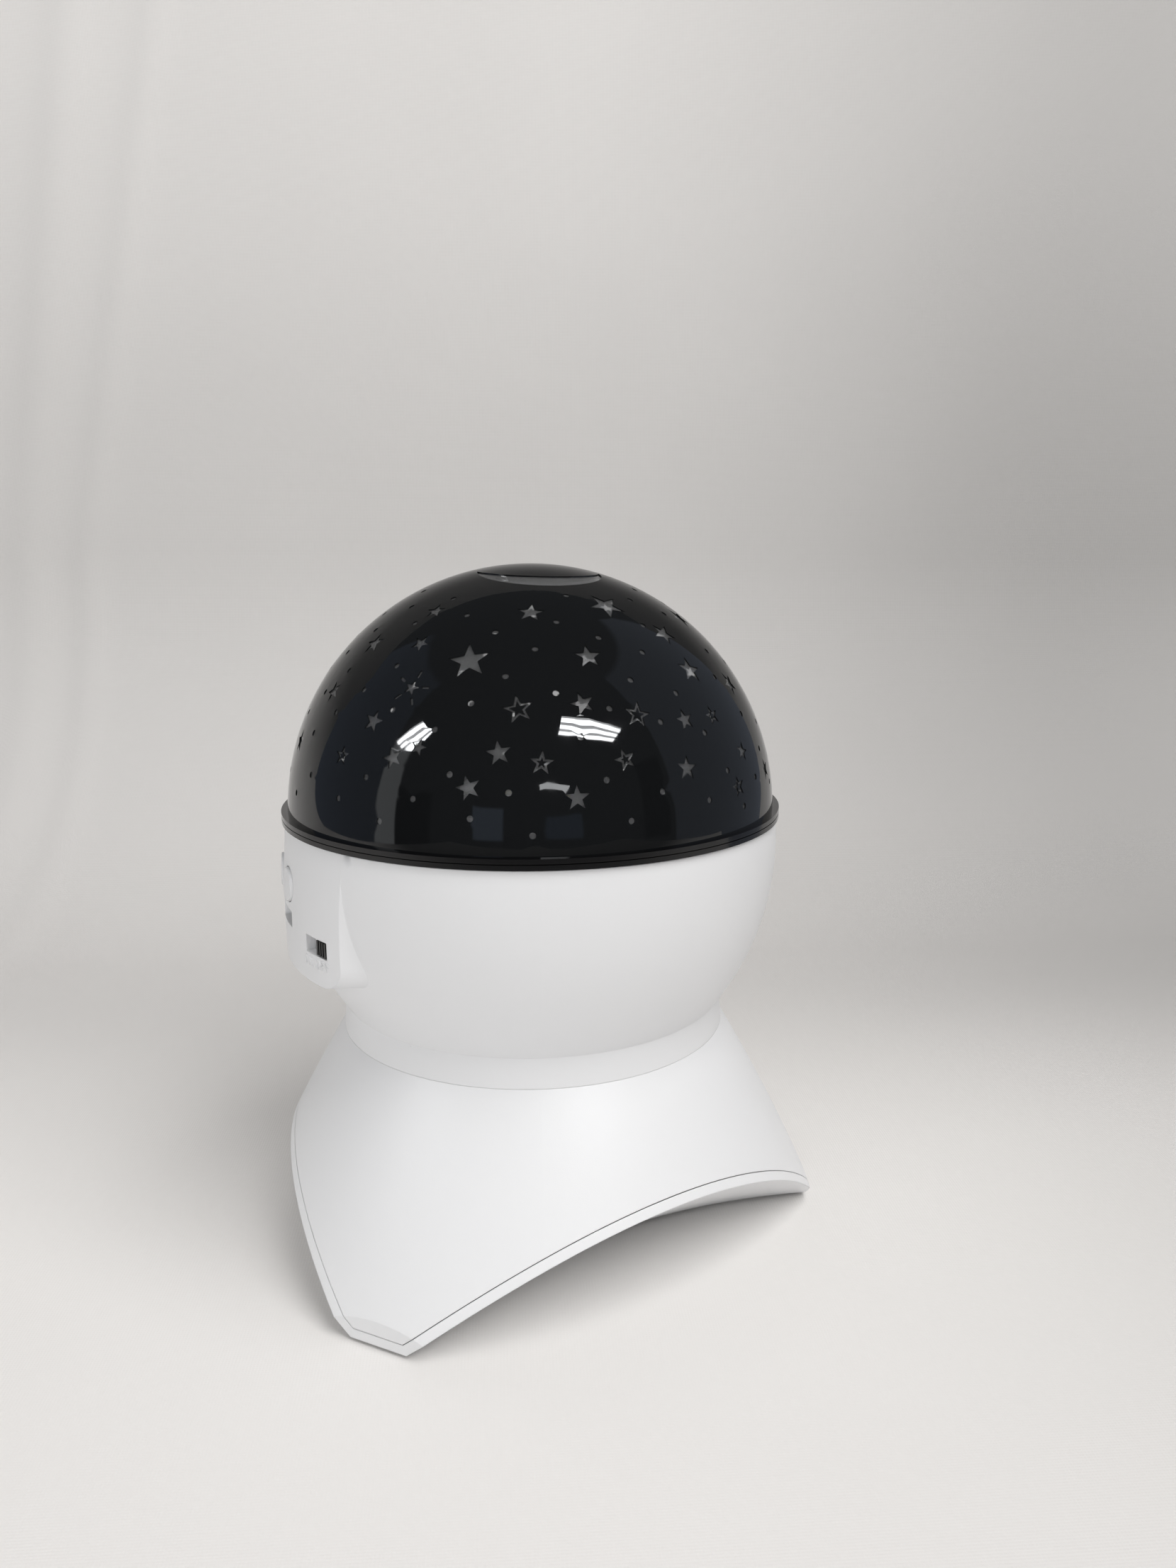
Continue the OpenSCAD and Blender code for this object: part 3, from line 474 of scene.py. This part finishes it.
class NIGHTLIGHT_OT_inside(bpy.types.Operator):
    """Dresses the drive, the lamp and the fasteners"""

    bl_idname = "nightlight.inside"
    bl_label = "Inside"

    def execute(self, context):
        dress(MadeOnce.get("chassis_grey"), "chassis", "motor_bracket")
        dress(MadeOnce.get("acetal"), "glide_ring", "drive_pinion")
        dress(MadeOnce.get("brass"), "gearbox")
        dress(MadeOnce.get("steel"), "motor_can", "motor_shaft", "chassis_screws", "motor_screws",
              "plate_screws", "board_screws", "joint_screws", "tray_screws", "door_screw")
        dress(MadeOnce.get("plate_white"), "reflector_plate", "lamp_board")
        dress(MadeOnce.get("led_lens"), "lamp_leds")
        dress(MadeOnce.get("hood_clear"), "lamp_hood")
        dress(MadeOnce.get("cell_jacket"), "battery_cells")
        return {"FINISHED"}


def aim(thing, place, target):
    """Puts a lamp at a place and points it at a target."""
    thing.location = place
    thing.rotation_mode = "QUATERNION"
    thing.rotation_quaternion = (Vector(target) - Vector(place)).to_track_quat("-Z", "Y")


def area_lamp(name, place, target, width, height, power, colour):
    """A soft rectangular lamp that no reflection shows."""
    data = bpy.data.lights.new(name, "AREA")
    data.shape = "RECTANGLE"
    data.size, data.size_y, data.energy, data.color = width, height, power, colour
    lamp = bpy.data.objects.new(name, data)
    lamp.visible_glossy = False
    bpy.context.scene.collection.objects.link(lamp)
    aim(lamp, place, target)
    return lamp


class NIGHTLIGHT_OT_stage(bpy.types.Operator):
    """Makes the camera, the lamps, the room and the cloth sheet"""

    bl_idname = "nightlight.stage"
    bl_label = "Stage"

    def execute(self, context):
        stage = context.scene.night_light_stage
        self.camera(stage)
        self.room(stage)
        self.lamps(stage)
        self.sheet(stage)
        return {"FINISHED"}

    def camera(self, stage):
        data = bpy.data.cameras.new("camera")
        data.sensor_fit, data.sensor_width, data.lens = "AUTO", 36, stage.lens
        data.clip_start = 0.01
        camera = bpy.data.objects.new("camera", data)
        bpy.context.scene.collection.objects.link(camera)
        bpy.context.scene.camera = camera
        forward = Vector((-math.cos(stage.yaw) * math.cos(stage.pitch),
                          math.sin(stage.yaw) * math.cos(stage.pitch), -math.sin(stage.pitch)))
        camera.location = Vector(stage.eye) + Vector((0, AXIS_Y, 0))
        camera.rotation_mode = "QUATERNION"
        camera.rotation_quaternion = forward.to_track_quat("-Z", "Y")

    def room(self, stage):
        """A pale fill for everything but gloss, which sees a dim room: flat patches in a direction
        from the lamp, each between two azimuths in degrees and two sines of elevation."""
        world = bpy.data.worlds.new("room")
        bpy.context.scene.world = world
        world.use_nodes = True
        tree = world.node_tree
        background = tree.nodes["Background"]
        place = node(tree, "ShaderNodeTexCoord")
        split = node(tree, "ShaderNodeSeparateXYZ")
        tree.links.new(place.outputs["Generated"], split.inputs[0])
        azimuth = math_node(tree, "ARCTAN2", split.outputs["Y"], split.outputs["X"])
        colour = None
        for low, high, bottom, top, tone in [
            (-181, 181, -1.1, 1.1, (0.05, 0.053, 0.058)),
            (66, 136, -0.3, 0.85, (0.17, 0.19, 0.23)),
            (-126, -76, -0.3, 0.8, (0.11, 0.13, 0.17)),
            (-75, -65, -0.14, 0.47, (0.75, 0.78, 0.8)),
            (-64, -48, -0.14, 0.22, (0.004, 0.004, 0.005)),
            (-27, -15, -0.06, 0.16, (0.28, 0.34, 0.44)),
            (6, 20, -0.05, 0.1, (0.14, 0.18, 0.25)),
            (50, 62, -0.1, 0.4, (0.006, 0.006, 0.008)),
        ]:
            mix = node(tree, "ShaderNodeMix", data_type="RGBA")
            mix.inputs[7].default_value = (*tone, 1)
            if colour is None:
                mix.inputs[6].default_value = (*tone, 1)
            else:
                tree.links.new(colour, mix.inputs[6])
            sides = between(tree, azimuth, math.radians(low), math.radians(high), 0.02)
            height = between(tree, split.outputs["Z"], bottom, top, 0.02)
            tree.links.new(math_node(tree, "MULTIPLY", sides, height), mix.inputs["Factor"])
            colour = mix.outputs[2]
        path = node(tree, "ShaderNodeLightPath")
        pale = node(tree, "ShaderNodeMix", data_type="RGBA")
        pale.inputs[6].default_value = (stage.fill, stage.fill * 0.985, stage.fill * 0.975, 1)
        tree.links.new(colour, pale.inputs[7])
        tree.links.new(path.outputs["Is Glossy Ray"], pale.inputs["Factor"])
        shown = node(tree, "ShaderNodeMix", data_type="RGBA")
        tree.links.new(pale.outputs[2], shown.inputs[6])
        shown.inputs[7].default_value = (0.62, 0.61, 0.6, 1)
        tree.links.new(path.outputs["Is Camera Ray"], shown.inputs["Factor"])
        tree.links.new(shown.outputs[2], background.inputs["Color"])

    def lamps(self, stage):
        area_lamp("overhead", (0.8, AXIS_Y + 0.75, 1.75), (0, AXIS_Y, 0.05), 1.3, 1.3, stage.key_power,
                  (1, 0.99, 0.98))
        area_lamp("window", (1.3, AXIS_Y - 0.75, 0.42), (0, AXIS_Y, 0.05), 1.5, 0.8, stage.front_power,
                  (0.97, 0.985, 1))
        self.fixtures()

    def fixtures(self):
        """Three ceiling fixtures that only gloss shows, each a tray with three tubes along Y. A strip
        spans x + width (spacing k +- reach / 2), so k = -1, 0, 1 are the tubes and reach 1 is the tray."""
        ceiling, spacing, tube = 1.8, 0.34, 0.2
        places = [(1.62, 1.03, 0.5, 1.18), (1.1, -2.5, 0.5, 1.14), (4.9, 0.6, 0.7, 1.2)]
        parts = ((0, 1, 0.01), (-1, tube, 0), (0, tube, 0), (1, tube, 0))
        strips = [(x + width * (spacing * k - reach / 2), x + width * (spacing * k + reach / 2),
                   y + AXIS_Y - length / 2, y + AXIS_Y + length / 2, ceiling + rise)
                  for x, y, width, length in places for k, reach, rise in parts]
        points = [[(a, c, z), (a, d, z), (b, d, z), (b, c, z)] for a, b, c, d, z in strips]
        faces = np.arange(4 * len(strips)).reshape(-1, 4)
        glows = [self.glow("tray_glow", 7), self.glow("tube_glow", 34)]
        piece = put_mesh("ceiling_tubes", np.array(points).reshape(-1, 3), [faces], glows, smooth=False,
                         face_material=[0, 1, 1, 1] * 2 + [0] * 4)
        piece.visible_camera = piece.visible_diffuse = piece.visible_shadow = False
        piece.visible_transmission = False

    def glow(self, name, strength):
        """A plain emission material of the given strength."""
        material = bpy.data.materials.new(name)
        material.use_nodes = True
        tree = material.node_tree
        tree.nodes.remove(tree.nodes["Principled BSDF"])
        light = node(tree, "ShaderNodeEmission")
        light.inputs["Color"].default_value = (0.96, 0.98, 1, 1)
        light.inputs["Strength"].default_value = strength
        tree.links.new(light.outputs[0], tree.nodes["Material Output"].inputs["Surface"])
        return material

    def sheet(self, stage):
        """A cloth sheet that curves up behind the lamp. At the distance d along it from the axis it is
        level up to run, then a quarter circle, turn = (d - run) / radius, then upright. Each fold is a
        ridge depth exp(-((y + place - slope up) / width)^2) taken off the radius."""
        front, run, radius, rise = 1.0, 0.19, 0.17, 0.5
        folds = [(0.0028, 0.255, 0.16, 0.011), (0.002, 0.225, 0.20, 0.007), (0.003, 0.30, 0.05, 0.025)]
        rows, columns = 420, 300
        length = front + run + radius * np.pi / 2 + rise
        d = np.linspace(0, 1, rows)[:, None] ** 1.3 * length - front
        v = np.linspace(-1, 1, columns)[None, :]
        turn = np.clip((d - run) / radius, 0, np.pi / 2)
        up = np.clip(d - run - radius * np.pi / 2, 0, None)
        half, narrow = 0.75, 0.43
        y = np.where((v < 0) | (d < 0), half, narrow) * v
        fold = sum(depth * np.exp(-((y + place - slope * up) / width) ** 2)
                   for depth, place, slope, width in folds)
        fold = fold * np.clip((d - run + 0.05) / 0.2, 0, 1)
        x = -(np.minimum(d, run) + (radius - fold) * np.sin(turn))
        z = radius - (radius - fold) * np.cos(turn) + up + 0 * y
        below_pads = 0.0002
        points = np.stack([x + 0 * y, y + AXIS_Y, z - below_pads], -1).reshape(-1, 3)
        piece = put_mesh("sheet", points, [grid(rows, columns)[:, ::-1]], [self.cloth(stage)])

    def cloth(self, stage):
        """Pale cloth with a fine weave. Its colour holds painted shade, greying it behind the lamp and to
        the right, and painted light, paling it high up; a faint noise varies its tone.
        In gloss a painted reflection dims it with distance in front and with height, as the room does beyond
        the cloth."""
        material, tree, principled = shader("cloth", stage.sheet_white[:], 0.9)
        principled.inputs["Specular IOR Level"].default_value = 0.2
        x, y, z = along(tree)
        # Painted shade: the colour darkens behind the lamp, to the right and faintly to the left; painted
        # light: it pales higher up. Only the noise factor is the cloth's own uneven tone.
        tone = eased(tree, x, -0.01, -0.16, 1, 0.77)
        for painted_light_and_tone_factor in (
            eased(tree, y, AXIS_Y + 0.02, AXIS_Y + 0.33, 1, 0.70),
            eased(tree, y, AXIS_Y, AXIS_Y - 0.3, 1, 0.99),
            eased(tree, z, 0.17, 0.45, 1, 1.2),
            ramp(tree, noise(tree, 7, 2), 0.3, 0.7, 0.985, 1.015),
        ):
            tone = math_node(tree, "MULTIPLY", tone, painted_light_and_tone_factor)
        # Painted reflection: for gloss rays the colour darkens further in front and higher up, standing in
        # for the dim room beyond the cloth.
        far = math_node(tree, "MULTIPLY", eased(tree, x, 0.16, 0.5, 1, 0.12),
                        eased(tree, z, 0.05, 0.42, 1, 0.2))
        gloss = node(tree, "ShaderNodeLightPath").outputs["Is Glossy Ray"]
        painted_reflection_shade = math_node(tree, "MULTIPLY", gloss, math_node(tree, "SUBTRACT", 1, far))
        tone = math_node(tree, "MULTIPLY", tone, math_node(tree, "SUBTRACT", 1, painted_reflection_shade))
        tinted(tree, principled, tone, (0, 0, 0), stage.sheet_white[:])
        thread_pitch, weave_depth, weave_strength = 0.0007, 0.0001, 0.12
        turns = 2 * math.pi / thread_pitch
        threads = [math_node(tree, "SINE", math_node(tree, "MULTIPLY", part, turns))
                   for part in (y, math_node(tree, "ADD", x, z))]
        weave = math_node(tree, "ADD", *threads)
        bumped(tree, principled, math_node(tree, "ADD", weave, noise(tree, 900, 4)), weave_depth,
               weave_strength)
        return material


class NIGHTLIGHT_PT_panel(bpy.types.Panel):
    """Lists the lamp's builders"""

    bl_label = "Night Light"
    bl_idname = "NIGHTLIGHT_PT_panel"
    bl_space_type = "VIEW_3D"
    bl_region_type = "UI"
    bl_category = "Night Light"

    def draw(self, context):
        for step in STEPS:
            self.layout.operator(step)
        for settings in (context.scene.night_light, context.scene.night_light_stage):
            for name in settings.__annotations__:
                self.layout.prop(settings, name)


STEPS = ["nightlight.stage", "nightlight.housing", "nightlight.dome", "nightlight.controls",
         "nightlight.inside"]
CLASSES = [LampSettings, StageSettings, NIGHTLIGHT_OT_stage, NIGHTLIGHT_OT_housing, NIGHTLIGHT_OT_dome,
           NIGHTLIGHT_OT_controls, NIGHTLIGHT_OT_inside, NIGHTLIGHT_PT_panel]


def register():
    for cls in CLASSES:
        bpy.utils.register_class(cls)
    bpy.types.Scene.night_light = PointerProperty(type=LampSettings)
    bpy.types.Scene.night_light_stage = PointerProperty(type=StageSettings)


def unregister():
    del bpy.types.Scene.night_light_stage
    del bpy.types.Scene.night_light
    for cls in reversed(CLASSES):
        bpy.utils.unregister_class(cls)


def main():
    """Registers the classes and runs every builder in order."""
    register()
    for step in STEPS:
        group, name = step.split(".")
        getattr(getattr(bpy.ops, group), name)()
    bpy.context.scene.view_settings.view_transform = "Standard"


if __name__ == "__main__":
    main()
